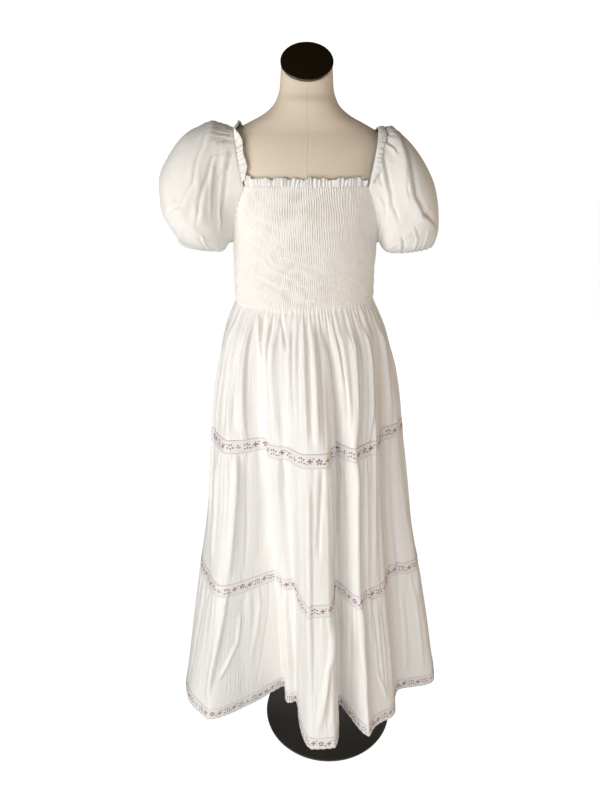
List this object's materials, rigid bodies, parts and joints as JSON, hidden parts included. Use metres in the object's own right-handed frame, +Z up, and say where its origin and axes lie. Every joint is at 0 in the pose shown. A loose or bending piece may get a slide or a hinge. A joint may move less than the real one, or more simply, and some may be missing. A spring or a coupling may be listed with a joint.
{
  "type": "peasant dress on a dress form",
  "caption": "Tiered cotton maxi dress with smocked bodice, square neck, puff sleeves and embroidered bands, worn by a limbless dress form on a round base plate.",
  "frame": {"origin": "on the floor, in the plane of the base plate's underside, plumb below the middle of the waist seam", "axes": "+Z up, -Y is the front of the dress, +X is to the right as seen from the front"},
  "size_m": [0.6642, 0.5158, 1.669],
  "materials": {
    "cotton": "thin plain-weave cotton, crumpled",
    "smocked_cotton": "the same cotton, shirred in close rows",
    "embroidered_cotton": "cotton band with small satin-stitch flowers",
    "form_jersey": "tight knitted jersey cover",
    "cap_plastic": "gloss black",
    "stand_metal": "satin black"
  },
  "bodies": {
    "root": {"base_plate": "stand_metal", "pole": "stand_metal", "form_torso": "form_jersey", "neck_cap": "cap_plastic", "tier_1_front": "cotton", "band_1_front": "embroidered_cotton", "tier_2_front": "cotton", "band_2_front": "embroidered_cotton", "tier_3_front": "cotton", "hem_border_front": "embroidered_cotton", "tier_1_back": "cotton", "band_1_back": "embroidered_cotton", "tier_2_back": "cotton", "band_2_back": "embroidered_cotton", "tier_3_back": "cotton", "hem_border_back": "embroidered_cotton", "bodice_front": "smocked_cotton", "neck_ruffle_front": "cotton", "bodice_back": "smocked_cotton", "neck_ruffle_back": "cotton", "sleeve_left": "cotton", "cuff_left": "cotton", "shoulder_ruffle_left": "cotton", "sleeve_right": "cotton", "cuff_right": "cotton", "shoulder_ruffle_right": "cotton"}
  },
  "joints": []
}
